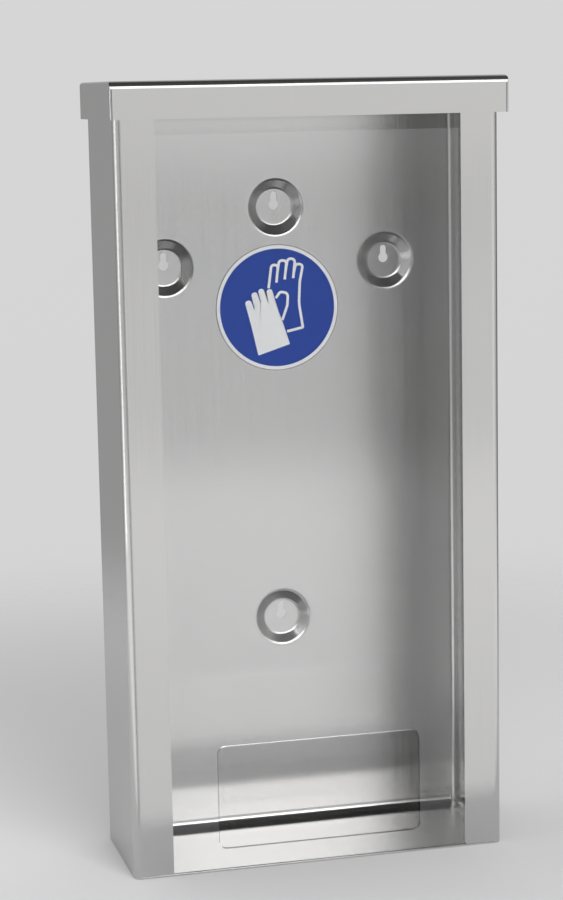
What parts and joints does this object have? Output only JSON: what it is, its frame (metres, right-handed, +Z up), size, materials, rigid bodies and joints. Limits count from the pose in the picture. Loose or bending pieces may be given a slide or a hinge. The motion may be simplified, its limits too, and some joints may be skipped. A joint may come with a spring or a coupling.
{
  "type": "disposable glove dispenser",
  "caption": "Tall folded stainless dispenser for boxed disposable gloves: clear front window with a cut-out to draw gloves from, lift-off lid, keyholes for hanging on a wall.",
  "frame": {"origin": "centre of the overall footprint on the standing surface, so z = 0 is the underside of the floor", "axes": "+Z up, front with the window and its cut-out towards -Y, wall side towards +Y, +X to the right seen from the front"},
  "size_m": [0.304, 0.126, 0.6016],
  "materials": {
    "shell_steel": "fine vertical grain",
    "lid_steel": "fine grain",
    "guide_steel": "plain mill finish",
    "clear_window": "clear polished acrylic",
    "sign_face": "blue sticker with a white rim"
  },
  "bodies": {
    "root": {"body_shell": "shell_steel", "lid": "lid_steel", "window": "clear_window", "window_guide_left": "guide_steel", "window_guide_right": "guide_steel", "glove_sign": "sign_face"}
  },
  "joints": []
}
